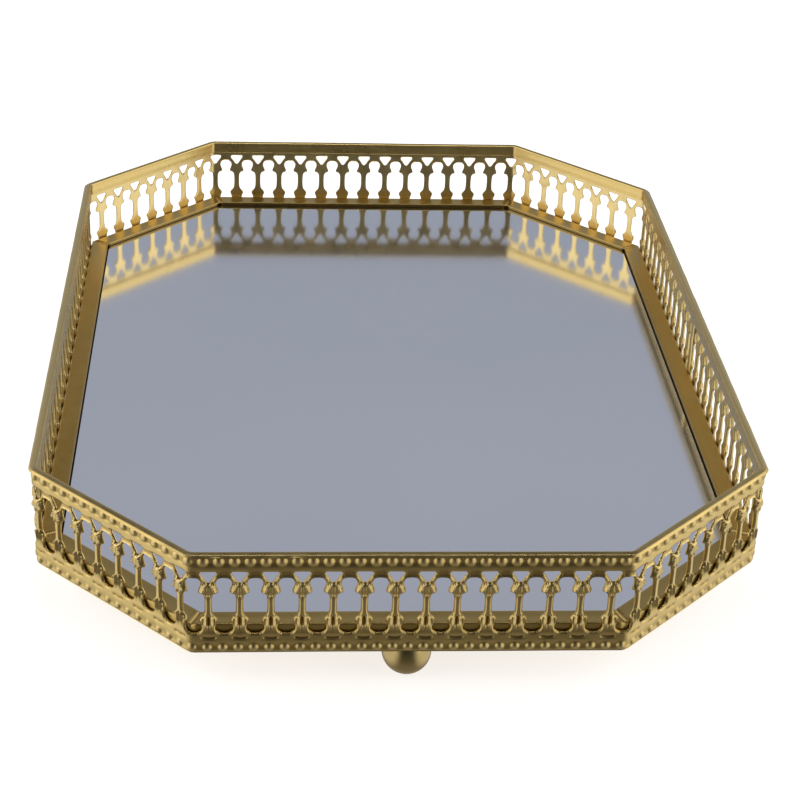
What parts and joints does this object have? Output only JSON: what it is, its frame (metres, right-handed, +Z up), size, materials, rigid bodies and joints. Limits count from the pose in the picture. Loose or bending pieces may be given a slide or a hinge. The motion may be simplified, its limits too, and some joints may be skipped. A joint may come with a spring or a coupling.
{
  "type": "dresser vanity tray",
  "caption": "Long octagonal mirror tray with a pierced arcade gallery, a folded top rim, a mitred frame round the mirror and ball feet.",
  "frame": {"origin": "centre of the footprint, on the surface that the ball feet stand on", "axes": "+Z up out of the mirror; +Y along the tray's length, from one short side to the other; +X across its width"},
  "size_m": [0.21, 0.3, 0.0432],
  "materials": {
    "gallery_gold": "satin champagne gold, stamped and pierced, lightly worn",
    "rim_gold": "satin pale gold, smooth folded channel",
    "frame_gold": "satin deeper gold, brushed along its length",
    "mirror_silver": "silvered float glass, polished with fine scratches",
    "board_brown": "raw hardboard",
    "floor_gold": "gold lacquered sheet",
    "foot_gold": "satin gold turned ball",
    "screw_steel": "zinc plated"
  },
  "bodies": {
    "root": {"gallery_front": "gallery_gold", "gallery_front_right": "gallery_gold", "gallery_right": "gallery_gold", "gallery_back_right": "gallery_gold", "gallery_back": "gallery_gold", "gallery_back_left": "gallery_gold", "gallery_left": "gallery_gold", "gallery_front_left": "gallery_gold", "gallery_lap": "gallery_gold", "top_rim": "rim_gold", "frame_front": "frame_gold", "frame_front_right": "frame_gold", "frame_right": "frame_gold", "frame_back_right": "frame_gold", "frame_back": "frame_gold", "frame_back_left": "frame_gold", "frame_left": "frame_gold", "frame_front_left": "frame_gold", "mirror_glass": "mirror_silver", "backing_board": "board_brown", "floor_plate": "floor_gold", "foot_front": "foot_gold", "foot_right": "foot_gold", "foot_back": "foot_gold", "foot_left": "foot_gold", "foot_screw_front": "screw_steel", "foot_screw_right": "screw_steel", "foot_screw_back": "screw_steel", "foot_screw_left": "screw_steel", "foot_washer_front": "screw_steel", "foot_washer_right": "screw_steel", "foot_washer_back": "screw_steel", "foot_washer_left": "screw_steel"}
  },
  "joints": []
}
